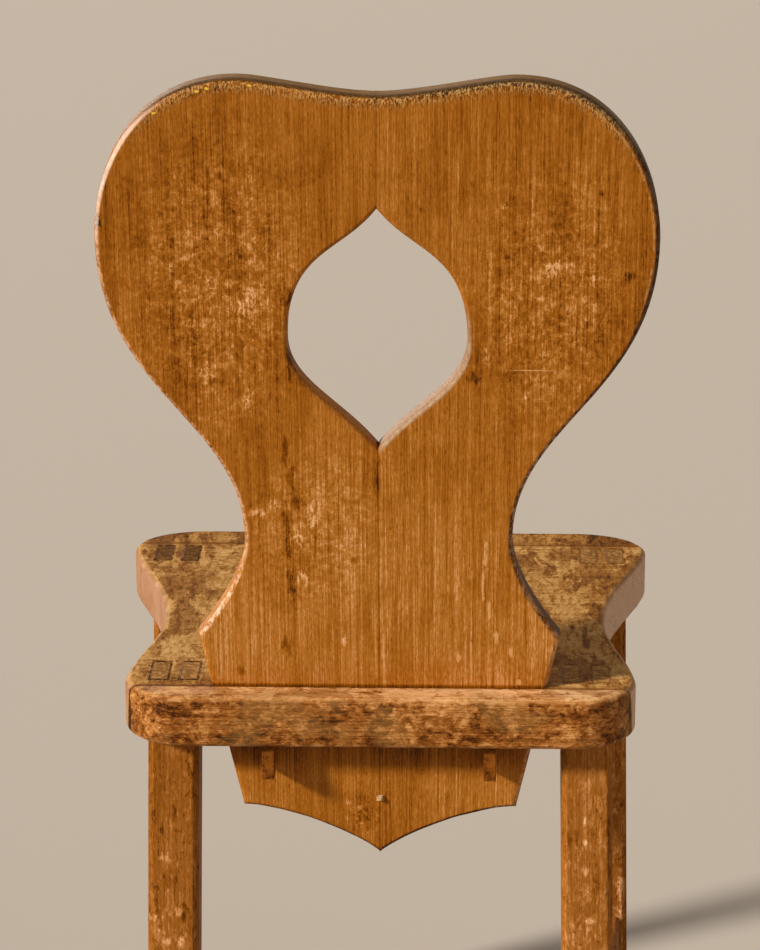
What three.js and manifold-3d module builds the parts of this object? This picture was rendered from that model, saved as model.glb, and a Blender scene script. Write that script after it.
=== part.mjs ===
// A keyed plank-back chair: a waisted seat of three glued boards, four leaning legs with twin
// through tenons, and a heart-shaped back whose tongue passes through the seat and is held
// underneath by two wooden keys.
//
// Millimetres. +Z is up, the sitter faces -Y, and +X is the sitter's left.

import * as THREE from 'three';
import { mergeVertices } from 'three/addons/utils/BufferGeometryUtils.js';
import Module from 'manifold-3d';

const wasm = await Module();
wasm.setup();

// Driving dimensions: the seat
const seatHeight = 450;
const seatThickness = 39;
const seatDepth = 388;
const seatFrontHalfWidth = 209;
const seatWaistHollow = 39;
const seatRearNarrowing = 20.8;
const seatWaistFromRear = 169;
const frontCornerWidth = 58;
const frontCornerDepth = 43;
const rearCornerWidth = 46;
const rearCornerDepth = 46;
const frontBoardDepth = 36;
const rearBoardDepth = 25;
const seatArris = 4.5;

// Driving dimensions: the back, measured along its slope from the seat's top
const backTilt = THREE.MathUtils.degToRad(7.5);
const backThickness = 18;
const backArris = 3.5;
const lobeHeight = 464;
const lobeReach = 95;
const dipDepth = 12;
const backHalfWidth = 195;
const widestDrop = 116;
const waistHalfWidth = 96;
const waistHeight = 120;
const shoulderHeight = 42;
const tongueTaper = THREE.MathUtils.degToRad(12);
const tongueWall = 12;
const tongueBelowSeat = 62;
const tongueTipFall = 40;
const openingBridge = 81;
const openingUpperHeight = 98.5;
const openingLowerHeight = 82;
const openingHalfWidth = 63;

// Driving dimensions: the legs and stretchers
const legThickness = 38;
const legChamfer = 4;
const legSideInset = 36.4;
const rearLegSetback = 12.5;
const frontLegSetback = 5.5;
const rearSplay = THREE.MathUtils.degToRad(1);
const frontSplay = THREE.MathUtils.degToRad(1.4);
const legRake = THREE.MathUtils.degToRad(3);
const tenonWidth = 12;
const tenonShoulder = 2;
const stretcherTop = 131;
const stretcherWidth = 28;
const stretcherHeight = 32;
const stretcherChamfer = 3;
const stretcherTenonWidth = 10;
const stretcherTenonHeight = 20;
const crossWidth = 24;
const crossHeight = 26;
const crossTenonHeight = 16;
const legMortiseStop = 12;
const crossMortiseStop = 10;

// Driving dimensions: keys, dowels and nail
const keyWidth = 9;
const keyInset = 33;
const keyRearHeight = 28;
const keyFrontHeight = 20;
const keyRearReach = 22;
const keyFrontReach = 40;
const keySlotRelief = 4;
const dowelRadius = 4;
const dowelLength = 40;
const nailAboveTip = 48;
const nailThickness = 2.4;
const nailCover = 6;
const nailHeadWidth = 5;
const nailHeadHeight = 3;

// Clearance between pieces that touch, and how far a cut runs past what it cuts
const fit = 0.3;
const overrun = 5;

// Counts that set how finely curves are faceted
const curveSteps = 14;
const arrisSteps = 3;
const dowelSides = 16;

// Places that follow from the sizes above
const seatUnder = seatHeight - seatThickness;
const seatWaistHalfWidth = seatFrontHalfWidth - seatWaistHollow;
const seatRearHalfWidth = seatFrontHalfWidth - seatRearNarrowing;
const seatFrontY = -seatDepth / 2;
const seatRearY = seatDepth / 2;
const frontJointY = seatFrontY + frontBoardDepth;
const rearJointY = seatRearY - rearBoardDepth;
const beyond = seatDepth + seatHeight + lobeHeight;

// Legs stand a set distance in from the seat's sides and clear of its two joints.
const frontLegOffset = seatFrontHalfWidth - legSideInset;
const rearLegOffset = seatRearHalfWidth - legSideInset;
const frontLegY = frontJointY + frontLegSetback + legThickness / 2;
const rearLegY = rearJointY - rearLegSetback - legThickness / 2;
const tenonDepth = legThickness - 2 * tenonShoulder;
const tenonPitch = tenonDepth - tenonWidth;
const frontMortiseInside = frontLegOffset - tenonDepth / 2 - fit;
const rearMortiseInside = rearLegOffset - tenonDepth / 2 - fit;

// The back's heights and widths, from its top down to the tip of its tongue
const dipHeight = lobeHeight - dipDepth;
const widestHeight = lobeHeight - widestDrop;
const openingTopHeight = dipHeight - openingBridge;
const openingWidestHeight = openingTopHeight - openingUpperHeight;
const openingBottomHeight = openingWidestHeight - openingLowerHeight;
const tongueCornerDrop = seatThickness + tongueBelowSeat;
const tongueTipDrop = tongueCornerDrop + tongueTipFall;
const nailDrop = tongueTipDrop - nailAboveTip;
const nailLength = backThickness - nailCover;

// Half the back's width on the straight taper that passes through the seat
function taperHalfWidth(height) {
  return rearMortiseInside - tongueWall + height * Math.tan(tongueTaper);
}

const shoulderHalfWidth = taperHalfWidth(shoulderHeight);
const tongueHalfWidth = taperHalfWidth(-tongueCornerDrop);
const keyOffset = taperHalfWidth(-seatThickness) - keyInset;

const at = (x, y, z) => new THREE.Vector3(x, y, z);
const unmoved = new THREE.Matrix4();

// A closed three.js geometry, moved to its place, as a solid that can be joined and cut.
function solidFrom(geometry, place = unmoved) {
  const bare = geometry.clone().applyMatrix4(place);
  bare.deleteAttribute('normal');
  bare.deleteAttribute('uv');
  const merged = mergeVertices(bare);
  const vertProperties = new Float32Array(merged.attributes.position.array);
  const triVerts = new Uint32Array(merged.index.array);
  return new wasm.Manifold(new wasm.Mesh({ numProp: 3, vertProperties, triVerts }));
}

// A box between two opposite corners.
function block(low, high, place = unmoved) {
  const size = high.clone().sub(low);
  const middle = low.clone().add(high).divideScalar(2);
  const box = new THREE.BoxGeometry(size.x, size.y, size.z);
  box.translate(middle.x, middle.y, middle.z);
  return solidFrom(box, place);
}

// A round rod along X, centred on a point.
function rod(radius, length, centre, place = unmoved) {
  const cylinder = new THREE.CylinderGeometry(radius, radius, length, dowelSides);
  cylinder.rotateZ(Math.PI / 2);
  cylinder.translate(centre.x, centre.y, centre.z);
  return solidFrom(cylinder, place);
}

// A rectangle with its four corners cut off, drawn about the origin.
function chamferedRectangle(width, height, chamfer) {
  const x = width / 2;
  const y = height / 2;
  return new THREE.Shape([
    new THREE.Vector2(x, chamfer - y),
    new THREE.Vector2(x, y - chamfer),
    new THREE.Vector2(x - chamfer, y),
    new THREE.Vector2(chamfer - x, y),
    new THREE.Vector2(-x, y - chamfer),
    new THREE.Vector2(-x, chamfer - y),
    new THREE.Vector2(chamfer - x, -y),
    new THREE.Vector2(x - chamfer, -y),
  ]);
}

// A straight bar with chamfered edges that starts at z = 0 and runs along +Z.
function bar(width, height, chamfer, length, place) {
  const section = chamferedRectangle(width, height, chamfer);
  const prism = new THREE.ExtrudeGeometry(section, { depth: length, bevelEnabled: false });
  return solidFrom(prism, place);
}

// A flat board with rounded arrises on both faces, lying from z = 0 to its thickness.
function board(shape, thickness, arris) {
  const geometry = new THREE.ExtrudeGeometry(shape, {
    depth: thickness - 2 * arris,
    curveSegments: curveSteps,
    bevelEnabled: true,
    bevelThickness: arris,
    bevelSize: arris,
    bevelOffset: -arris,
    bevelSegments: arrisSteps,
  });
  geometry.translate(0, 0, arris);
  return geometry;
}

// A closed outline from the half of it on the +X side, whose ends lie on the centre line.
function mirroredOutline(half) {
  const points = half.getPoints(curveSteps);
  const inner = points.slice(1, -1).reverse();
  return [...points, ...inner.map((point) => new THREE.Vector2(-point.x, point.y))];
}

// A solid as a named mesh with a material of its own.
function piece(name, solid, finish) {
  const shape = solid.getMesh();
  const geometry = new THREE.BufferGeometry();
  geometry.setAttribute('position', new THREE.BufferAttribute(shape.vertProperties, 3));
  geometry.setIndex(new THREE.BufferAttribute(shape.triVerts, 1));
  geometry.computeVertexNormals();
  const mesh = new THREE.Mesh(geometry, new THREE.MeshStandardMaterial(finish));
  mesh.name = name;
  return mesh;
}

const seatWood = { color: 0xa9793f, roughness: 0.62, metalness: 0 };
const backWood = { color: 0xa4632b, roughness: 0.42, metalness: 0 };
const legWood = { color: 0xa8682f, roughness: 0.5, metalness: 0 };
const keyWood = { color: 0x8a5424, roughness: 0.6, metalness: 0 };
const dowelWood = { color: 0xc9a06a, roughness: 0.7, metalness: 0 };
const oldIron = { color: 0x4a4038, roughness: 0.6, metalness: 0.8 };

// Seat outline. Quarter rounds use the usual share of a Bezier handle in a quarter of an ellipse.
const roundShare = 0.5523;
const sideHandleShares = { front: 0.23, frontWaist: 0.42, rearWaist: 0.3, rear: 0.28 };

function seatShape() {
  const waistY = seatRearY - seatWaistFromRear;
  const frontWideY = seatFrontY + frontCornerDepth;
  const rearWideY = seatRearY - rearCornerDepth;
  const frontRun = waistY - frontWideY;
  const rearRun = rearWideY - waistY;
  const half = new THREE.Path();
  half.moveTo(0, seatFrontY);
  half.lineTo(seatFrontHalfWidth - frontCornerWidth, seatFrontY);
  half.bezierCurveTo(
    seatFrontHalfWidth - frontCornerWidth * (1 - roundShare), seatFrontY,
    seatFrontHalfWidth, frontWideY - frontCornerDepth * roundShare,
    seatFrontHalfWidth, frontWideY);
  half.bezierCurveTo(
    seatFrontHalfWidth, frontWideY + frontRun * sideHandleShares.front,
    seatWaistHalfWidth, waistY - frontRun * sideHandleShares.frontWaist,
    seatWaistHalfWidth, waistY);
  half.bezierCurveTo(
    seatWaistHalfWidth, waistY + rearRun * sideHandleShares.rearWaist,
    seatRearHalfWidth, rearWideY - rearRun * sideHandleShares.rear,
    seatRearHalfWidth, rearWideY);
  half.bezierCurveTo(
    seatRearHalfWidth, rearWideY + rearCornerDepth * roundShare,
    seatRearHalfWidth - rearCornerWidth * (1 - roundShare), seatRearY,
    seatRearHalfWidth - rearCornerWidth, seatRearY);
  half.lineTo(0, seatRearY);
  return new THREE.Shape(mirroredOutline(half));
}

// Back outline, drawn in the board's own plane: x across, y up its slope from the seat's top.
const lobeHandleShares = { dip: 0.3, lobe: 0.18, shoulder: 0.69, side: 0.46 };
const flankHandleShares = { widest: 0.51, waist: 0.4 };
const flareHandleShares = { waist: 0.38, across: 0.31, up: 0.18 };
const tongueHandleShares = { corner: 0.277, tipAcross: 0.198, tipUp: 0.454 };
const openingTopShares = { across: 0.4, down: 0.344 };
const openingSideShares = { upper: 0.687, lower: 0.41 };
const openingFootShares = { across: 0.41, up: 0.412 };

function backHalfOutline() {
  const shoulderFall = lobeHeight - widestHeight;
  const flankFall = widestHeight - waistHeight;
  const flareFall = waistHeight - shoulderHeight;
  const flareReach = shoulderHalfWidth - waistHalfWidth;
  const half = new THREE.Path();
  half.moveTo(0, dipHeight);
  half.bezierCurveTo(
    lobeReach * lobeHandleShares.dip, dipHeight,
    lobeReach * (1 - lobeHandleShares.lobe), lobeHeight,
    lobeReach, lobeHeight);
  half.bezierCurveTo(
    lobeReach + (backHalfWidth - lobeReach) * lobeHandleShares.shoulder, lobeHeight,
    backHalfWidth, widestHeight + shoulderFall * lobeHandleShares.side,
    backHalfWidth, widestHeight);
  half.bezierCurveTo(
    backHalfWidth, widestHeight - flankFall * flankHandleShares.widest,
    waistHalfWidth, waistHeight + flankFall * flankHandleShares.waist,
    waistHalfWidth, waistHeight);
  half.bezierCurveTo(
    waistHalfWidth, waistHeight - flareFall * flareHandleShares.waist,
    shoulderHalfWidth - flareReach * flareHandleShares.across,
    shoulderHeight + flareFall * flareHandleShares.up,
    shoulderHalfWidth, shoulderHeight);
  half.lineTo(tongueHalfWidth, -tongueCornerDrop);
  half.bezierCurveTo(
    tongueHalfWidth * (1 - tongueHandleShares.corner), -tongueCornerDrop,
    tongueHalfWidth * tongueHandleShares.tipAcross,
    tongueTipFall * tongueHandleShares.tipUp - tongueTipDrop,
    0, -tongueTipDrop);
  return half;
}

function openingHalfOutline() {
  const half = new THREE.Path();
  half.moveTo(0, openingTopHeight);
  half.bezierCurveTo(
    openingHalfWidth * openingTopShares.across,
    openingTopHeight - openingUpperHeight * openingTopShares.down,
    openingHalfWidth, openingWidestHeight + openingUpperHeight * openingSideShares.upper,
    openingHalfWidth, openingWidestHeight);
  half.bezierCurveTo(
    openingHalfWidth, openingWidestHeight - openingLowerHeight * openingSideShares.lower,
    openingHalfWidth * openingFootShares.across,
    openingBottomHeight + openingLowerHeight * openingFootShares.up,
    0, openingBottomHeight);
  return half;
}

// The back's frame: origin where its rear face meets the seat's top, y up the slope, z forward.
const backFrame = new THREE.Matrix4().makeRotationX(Math.PI / 2 - backTilt);
backFrame.setPosition(0, rearJointY, seatHeight);
const intoBack = backFrame.clone().invert();

// Keys: level along the seat's underside, taller at the rear end.
const rearFaceAtKey = rearJointY - (seatThickness + keyRearHeight / 2) * Math.tan(backTilt);
const keyRearY = rearFaceAtKey + keyRearReach;
const keyFrontY = rearFaceAtKey - backThickness / Math.cos(backTilt) - keyFrontReach;

function keySolid(side, clearance, relief) {
  const top = seatUnder - fit + relief;
  const width = keyWidth + 2 * clearance;
  const profile = new THREE.Shape([
    new THREE.Vector2(keyFrontY, top),
    new THREE.Vector2(keyFrontY, seatUnder - fit - keyFrontHeight - clearance),
    new THREE.Vector2(keyRearY, seatUnder - fit - keyRearHeight - clearance),
    new THREE.Vector2(keyRearY, top),
  ]);
  const wedge = new THREE.ExtrudeGeometry(profile, { depth: width, bevelEnabled: false });
  const place = new THREE.Matrix4().makeBasis(at(0, 1, 0), at(0, 0, 1), at(1, 0, 0));
  place.setPosition(side * keyOffset - width / 2, 0, 0);
  return solidFrom(wedge, place);
}

// Nail: a square shank on the seam, with a hammered four-sided head.
function nailSolid(clearance) {
  const reach = nailThickness / 2 + clearance;
  const low = at(-reach, -nailDrop - reach, -fit - clearance);
  const high = at(reach, reach - nailDrop, nailLength + clearance);
  return block(low, high);
}

function nailHead() {
  const corner = nailHeadWidth / Math.SQRT2;
  const head = new THREE.CylinderGeometry(nailThickness / 2, corner, nailHeadHeight, 4);
  head.rotateY(Math.PI / 4);
  head.rotateX(-Math.PI / 2);
  head.translate(0, -nailDrop, -fit - nailHeadHeight / 2);
  return solidFrom(head);
}

// Back: two boards edge to edge on the centre line. Dowels cross the seam above the opening,
// twice below it, and once in the tongue between the seat and the nail.
const lowerDowelShares = { middle: 0.8, lower: 0.35 };
const backDowels = [
  { name: 'back_dowel_top', height: (dipHeight + openingTopHeight) / 2 },
  { name: 'back_dowel_middle', height: openingBottomHeight * lowerDowelShares.middle },
  { name: 'back_dowel_lower', height: openingBottomHeight * lowerDowelShares.lower },
  { name: 'back_dowel_tongue', height: -(seatThickness + nailDrop) / 2 },
];

function buildBack() {
  const group = new THREE.Group();
  group.rotation.x = Math.PI / 2 - backTilt;
  group.position.set(0, rearJointY, seatHeight);
  const shape = new THREE.Shape(mirroredOutline(backHalfOutline()));
  shape.holes.push(new THREE.Path(mirroredOutline(openingHalfOutline()).reverse()));
  const blank = solidFrom(board(shape, backThickness, backArris));
  const halves = [{ name: 'back_board_left', side: 1 }, { name: 'back_board_right', side: -1 }];
  for (const { name, side } of halves) {
    const edges = [side * fit / 2, side * beyond].sort((a, b) => a - b);
    let half = blank.intersect(block(at(edges[0], -beyond, -beyond), at(edges[1], beyond, beyond)));
    for (const dowel of backDowels) {
      const centre = at(0, dowel.height, backThickness / 2);
      half = half.subtract(rod(dowelRadius + fit, dowelLength + 2 * fit, centre));
    }
    const slot = keySolid(side, fit, keySlotRelief);
    half = half.subtract(slot.transform(intoBack.elements));
    half = half.subtract(nailSolid(fit));
    group.add(piece(name, half, backWood));
  }
  for (const dowel of backDowels) {
    const pin = rod(dowelRadius, dowelLength, at(0, dowel.height, backThickness / 2));
    group.add(piece(dowel.name, pin, dowelWood));
  }
  group.add(piece('tongue_nail', nailSolid(0).add(nailHead()), oldIron));
  return group;
}

// Legs: each leans out from a point on the seat's top, and its foot is cut level.
const legs = [
  { name: 'front_left_leg', side: 1, end: -1 },
  { name: 'front_right_leg', side: -1, end: -1 },
  { name: 'rear_left_leg', side: 1, end: 1 },
  { name: 'rear_right_leg', side: -1, end: 1 },
];

for (const leg of legs) {
  const isRear = leg.end > 0;
  const x = leg.side * (isRear ? rearLegOffset : frontLegOffset);
  const y = isRear ? rearLegY : frontLegY;
  const splay = isRear ? rearSplay : frontSplay;
  const lean = new THREE.Euler(leg.end * legRake, -leg.side * splay, 0);
  leg.frame = new THREE.Matrix4().makeRotationFromEuler(lean);
  leg.frame.setPosition(x, y, seatHeight);
}

const findLeg = (name) => legs.find((item) => item.name === name);

// The point on a leg's centre line at a height above the floor.
function legPoint(leg, height) {
  const start = at(0, 0, 0).applyMatrix4(leg.frame);
  const down = at(0, 0, -1).transformDirection(leg.frame);
  return start.addScaledVector(down, (seatHeight - height) / -down.z);
}

// The leg's long square body, or the space that it needs with a clearance round it.
function legBody(leg, clearance) {
  const length = seatHeight + seatThickness;
  const size = legThickness + 2 * clearance;
  const place = leg.frame.clone().multiply(new THREE.Matrix4().makeTranslation(0, 0, -length));
  return bar(size, size, legChamfer, length, place);
}

// The twin tenons, or their mortises with a clearance.
function legTenons(leg, clearance) {
  const x = tenonWidth / 2 + clearance;
  const y = tenonDepth / 2 + clearance;
  const root = seatThickness + legThickness / 2 + clearance;
  const tenons = [-1, 1].map((step) => {
    const middle = step * tenonPitch / 2;
    return block(at(middle - x, -y, -root), at(middle + x, y, overrun), leg.frame);
  });
  return tenons[0].add(tenons[1]);
}

// Stretchers: the frame of a bar that runs from one point to another, with y up.
function barFrame(from, to) {
  const along = to.clone().sub(from).normalize();
  const across = at(0, 0, 1).cross(along).normalize();
  const up = along.clone().cross(across);
  const frame = new THREE.Matrix4().makeBasis(across, up, along);
  frame.setPosition(from);
  return frame;
}

const sideStretchers = [
  { name: 'left_stretcher', rear: 'rear_left_leg', front: 'front_left_leg' },
  { name: 'right_stretcher', rear: 'rear_right_leg', front: 'front_right_leg' },
];

const stretcherMiddle = stretcherTop - stretcherHeight / 2;

for (const stretcher of sideStretchers) {
  const from = legPoint(findLeg(stretcher.rear), stretcherMiddle);
  const to = legPoint(findLeg(stretcher.front), stretcherMiddle);
  stretcher.frame = barFrame(from, to);
  stretcher.length = from.distanceTo(to);
  stretcher.centre = from.add(to).divideScalar(2);
}

const crossFrame = barFrame(sideStretchers[1].centre, sideStretchers[0].centre);
const crossLength = sideStretchers[0].centre.distanceTo(sideStretchers[1].centre);

// A tenon through each end of a bar, or its mortise with a clearance. A bar runs between the
// centre lines of what it joins, and `depth` is how far each tenon stops short of those lines.
function endTenons(frame, length, width, height, depth, clearance) {
  const low = at(-width / 2 - clearance, -height / 2 - clearance, depth - clearance);
  const high = at(width / 2 + clearance, height / 2 + clearance, length - depth + clearance);
  return block(low, high, frame);
}

const sideTenonStart = legMortiseStop - legThickness / 2;
const crossTenonStart = crossMortiseStop - stretcherWidth / 2;

function sideStretcherTenons(stretcher, clearance) {
  return endTenons(stretcher.frame, stretcher.length, stretcherTenonWidth, stretcherTenonHeight,
    sideTenonStart, clearance);
}

function crossTenons(clearance) {
  return endTenons(crossFrame, crossLength, stretcherTenonWidth, crossTenonHeight,
    crossTenonStart, clearance);
}

function sideStretcherBar(stretcher, clearance) {
  const width = stretcherWidth + 2 * clearance;
  const height = stretcherHeight + 2 * clearance;
  return bar(width, height, stretcherChamfer, stretcher.length, stretcher.frame);
}

function buildStretchers() {
  const group = new THREE.Group();
  for (const stretcher of sideStretchers) {
    let body = sideStretcherBar(stretcher, 0);
    body = body.subtract(legBody(findLeg(stretcher.rear), fit));
    body = body.subtract(legBody(findLeg(stretcher.front), fit));
    body = body.add(sideStretcherTenons(stretcher, 0));
    group.add(piece(stretcher.name, body.subtract(crossTenons(fit)), legWood));
  }
  let cross = bar(crossWidth, crossHeight, stretcherChamfer, crossLength, crossFrame);
  for (const stretcher of sideStretchers) {
    cross = cross.subtract(sideStretcherBar(stretcher, fit));
  }
  group.add(piece('cross_stretcher', cross.add(crossTenons(0)), legWood));
  return group;
}

function buildLegs() {
  const group = new THREE.Group();
  const belowSeat = block(at(-beyond, -beyond, 0), at(beyond, beyond, seatUnder - fit));
  const belowTop = block(at(-beyond, -beyond, 0), at(beyond, beyond, seatHeight));
  for (const leg of legs) {
    let body = legBody(leg, 0).intersect(belowSeat);
    body = body.add(legTenons(leg, 0).intersect(belowTop));
    const joined = sideStretchers.find((item) => item.rear === leg.name || item.front === leg.name);
    body = body.subtract(sideStretcherTenons(joined, fit));
    group.add(piece(leg.name, body, legWood));
  }
  return group;
}

// Seat dowels: three in the front joint, and one each side of the slot in the rear joint.
const jointHeight = seatHeight - seatThickness / 2;
const slotHalfAtJoint = taperHalfWidth(-seatThickness / 2) + fit;
const rearDowelOffset = (slotHalfAtJoint + rearMortiseInside) / 2;
const rearJointMiddleY = rearJointY - Math.tan(backTilt) * seatThickness / 2;
const rearDowelLength = 2 * (rearBoardDepth - 2 * dowelRadius);
const frontDowelShare = 0.7;
const frontDowelOffset = frontMortiseInside * frontDowelShare;
const seatDowels = [
  { name: 'seat_dowel_front_left', x: frontDowelOffset, y: frontJointY, length: dowelLength },
  { name: 'seat_dowel_front_middle', x: 0, y: frontJointY, length: dowelLength },
  { name: 'seat_dowel_front_right', x: -frontDowelOffset, y: frontJointY, length: dowelLength },
  { name: 'seat_dowel_rear_left', x: rearDowelOffset, y: rearJointMiddleY, length: rearDowelLength },
  { name: 'seat_dowel_rear_right', x: -rearDowelOffset, y: rearJointMiddleY, length: rearDowelLength },
];

function seatDowel(dowel, clearance) {
  const place = new THREE.Matrix4().makeRotationZ(Math.PI / 2);
  place.setPosition(dowel.x, dowel.y, jointHeight);
  return rod(dowelRadius + clearance, dowel.length + 2 * clearance, at(0, 0, 0), place);
}

// The slot for the back, open at the rear joint and closed by the rear board.
function backSlot() {
  const top = overrun;
  const bottom = -seatThickness / Math.cos(backTilt) - overrun;
  const sides = [top, bottom].map((height) => taperHalfWidth(height) + fit);
  const outline = new THREE.Shape([
    new THREE.Vector2(sides[0], top),
    new THREE.Vector2(-sides[0], top),
    new THREE.Vector2(-sides[1], bottom),
    new THREE.Vector2(sides[1], bottom),
  ]);
  const depth = backThickness + fit + overrun;
  const prism = new THREE.ExtrudeGeometry(outline, { depth, bevelEnabled: false });
  prism.translate(0, 0, -overrun);
  return solidFrom(prism, backFrame);
}

function buildSeat() {
  const group = new THREE.Group();
  const slab = board(seatShape(), seatThickness, seatArris);
  const blank = solidFrom(slab, new THREE.Matrix4().makeTranslation(0, 0, seatUnder));
  const holes = seatDowels.map((dowel) => seatDowel(dowel, fit));
  const drill = (body) => holes.reduce((rest, hole) => rest.subtract(hole), body);

  const frontEdge = frontJointY - fit / 2;
  const front = blank.intersect(block(at(-beyond, -beyond, 0), at(beyond, frontEdge, beyond)));
  group.add(piece('seat_front_board', drill(front), seatWood));

  const rear = blank.intersect(block(at(-beyond, -beyond, -beyond), at(beyond, beyond, -fit), backFrame));
  group.add(piece('seat_rear_board', drill(rear), seatWood));

  const middleEdge = frontJointY + fit / 2;
  let middle = blank.intersect(block(at(-beyond, middleEdge, 0), at(beyond, beyond, beyond)));
  middle = middle.intersect(block(at(-beyond, -beyond, 0), at(beyond, beyond, beyond), backFrame));
  middle = drill(middle).subtract(backSlot());
  for (const leg of legs) {
    middle = middle.subtract(legTenons(leg, fit));
  }
  group.add(piece('seat_middle_board', middle, seatWood));

  for (const dowel of seatDowels) {
    group.add(piece(dowel.name, seatDowel(dowel, 0), dowelWood));
  }
  return group;
}

function buildKeys() {
  const group = new THREE.Group();
  group.add(piece('left_key', keySolid(1, 0, 0), keyWood));
  group.add(piece('right_key', keySolid(-1, 0, 0), keyWood));
  return group;
}

const chair = new THREE.Group();
chair.add(buildSeat(), buildBack(), buildLegs(), buildStretchers(), buildKeys());

// The origin is on the floor, under the middle of the chair's box.
chair.updateMatrixWorld(true);
const whole = new THREE.Box3().setFromObject(chair, true);
chair.position.y = -(whole.min.y + whole.max.y) / 2;

export default chair;
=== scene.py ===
# %% [markdown]
# # A plank-back chair with a keyed tongue
#
# The chair is made here in oak: a waisted seat of three boards, four leaning legs whose twin
# tenons come up through the seat, and a heart-shaped back of two boards. The back's tongue
# passes through the seat, and two wooden keys under the seat hold it tight.
#
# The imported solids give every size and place. This lesson loads them first and then makes, for
# each piece that shows, a mesh with softened, worn edges and a finish that follows the grain.

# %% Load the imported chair
import math
from types import SimpleNamespace

import bmesh
import bpy
from mathutils import Matrix, Vector, kdtree, noise
from mathutils.geometry import interpolate_bezier


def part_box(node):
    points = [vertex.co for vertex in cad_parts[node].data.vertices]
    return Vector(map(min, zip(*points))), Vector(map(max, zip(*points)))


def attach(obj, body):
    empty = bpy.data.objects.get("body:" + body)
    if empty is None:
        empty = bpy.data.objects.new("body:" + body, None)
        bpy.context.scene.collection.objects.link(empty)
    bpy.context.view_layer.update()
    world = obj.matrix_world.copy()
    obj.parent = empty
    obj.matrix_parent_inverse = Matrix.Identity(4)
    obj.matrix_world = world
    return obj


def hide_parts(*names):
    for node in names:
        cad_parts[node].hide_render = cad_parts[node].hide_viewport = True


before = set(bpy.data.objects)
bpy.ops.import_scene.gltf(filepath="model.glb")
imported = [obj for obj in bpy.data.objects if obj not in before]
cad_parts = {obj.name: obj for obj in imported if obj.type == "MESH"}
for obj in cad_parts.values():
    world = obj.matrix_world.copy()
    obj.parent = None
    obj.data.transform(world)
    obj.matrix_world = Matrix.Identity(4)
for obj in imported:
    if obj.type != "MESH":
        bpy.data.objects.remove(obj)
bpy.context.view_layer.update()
MM = 0.001

# %% [markdown]
# ## Camera
#
# The photograph looks down at the chair from behind with a long lens. A long lens keeps the two
# sides of the chair nearly parallel, as a product photograph does. The place and the angles below
# were found by matching the seat's corners, its joint lines and the tenons to the photograph, so
# the camera is built from those angles and not aimed by eye.

# %% Camera
PHOTO_WIDTH = 760
FOCAL_PIXELS = 3404.5
CAMERA_PLACE = Vector((-0.0666, 2.4782, 1.3430))
CAMERA_DOWN = math.radians(17.42)
CAMERA_TURN = math.radians(1.62)
CAMERA_ROLL = math.radians(-0.10)


def camera_turned(down, turn, roll):
    """Rotation of a camera that looks along -Y, turned, tipped down and rolled."""
    ahead = Vector((
        math.sin(turn) * math.cos(down),
        -math.cos(turn) * math.cos(down),
        -math.sin(down)))
    right = ahead.cross(Vector((0, 0, 1))).normalized()
    above = right.cross(ahead)
    tipped_right = right * math.cos(roll) + above * math.sin(roll)
    tipped_above = above * math.cos(roll) - right * math.sin(roll)
    return Matrix((tipped_right, tipped_above, -ahead)).transposed()


camera_data = bpy.data.cameras.new("photo_camera")
camera_data.sensor_fit = "HORIZONTAL"
camera_data.sensor_width = 36
camera_data.lens = FOCAL_PIXELS / PHOTO_WIDTH * camera_data.sensor_width
camera_data.clip_end = 200
camera = bpy.data.objects.new("photo_camera", camera_data)
camera.matrix_world = (
    Matrix.Translation(CAMERA_PLACE)
    @ camera_turned(CAMERA_DOWN, CAMERA_TURN, CAMERA_ROLL).to_4x4())
bpy.context.scene.collection.objects.link(camera)
bpy.context.scene.camera = camera
print("lens:", round(camera_data.lens, 1), "mm")

# %% [markdown]
# ## Light
#
# The light comes from the left of the camera and a little above it, and it is fairly soft. A lamp
# close by would light the near pieces more than the far ones, so a sun with a wide angle is used:
# it gives even light on the whole chair, and a shadow with a soft edge on the seat. A weak sun on
# the right opens up the faces that turn away from the light, and a level one on the sitter's side
# keeps the front readable from other views.

# %% Lights
def add_sun(name, travels, strength, softness, color):
    """A sun whose light travels along the given direction."""
    data = bpy.data.lights.new(name, "SUN")
    data.energy = strength
    data.angle = math.radians(softness)
    data.color = color
    sun = bpy.data.objects.new(name, data)
    sun.rotation_euler = Vector(travels).to_track_quat("-Z", "Y").to_euler()
    bpy.context.scene.collection.objects.link(sun)
    print("light:", name)


add_sun("key_light", (-0.76, -0.457, -0.448), 4.7, 6, (1.0, 0.97, 0.93))
add_sun("side_fill", (0.86, -0.35, -0.3), 0.55, 50, (1.0, 0.97, 0.95))
add_sun("front_fill", (-0.3, 0.95, 0.02), 1.6, 40, (1.0, 0.97, 0.94))
bpy.context.scene.view_settings.view_transform = "Standard"

# %% [markdown]
# ## Node helpers
#
# Every finish is a tree of nodes. One helper adds a node, sets its options and fills its sockets:
# a plain value sets the socket, and another node's output is linked to it. The others wrap the
# few nodes that every finish uses, and add them to the tree that their values come from, so that
# a finish reads like a recipe.

# %% Adding nodes
def fill_sockets(made, sockets):
    """Sets a node's sockets, or links them, from name (or number) and value (or output)."""
    for socket, value in sockets.items():
        if isinstance(value, bpy.types.NodeSocket):
            made.id_data.links.new(value, made.inputs[socket])
        else:
            made.inputs[socket].default_value = value
    return made


def add_node(tree, kind, sockets=None, **options):
    """Adds a node and gives its outputs."""
    made = tree.nodes.new(kind)
    for name, value in options.items():
        setattr(made, name, value)
    return fill_sockets(made, sockets or {}).outputs


def join(kind, sockets, **options):
    """Adds a node to the tree that its first linked value belongs to."""
    linked = [value for value in sockets.values() if isinstance(value, bpy.types.NodeSocket)]
    return add_node(linked[0].id_data, kind, sockets, **options)


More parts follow.
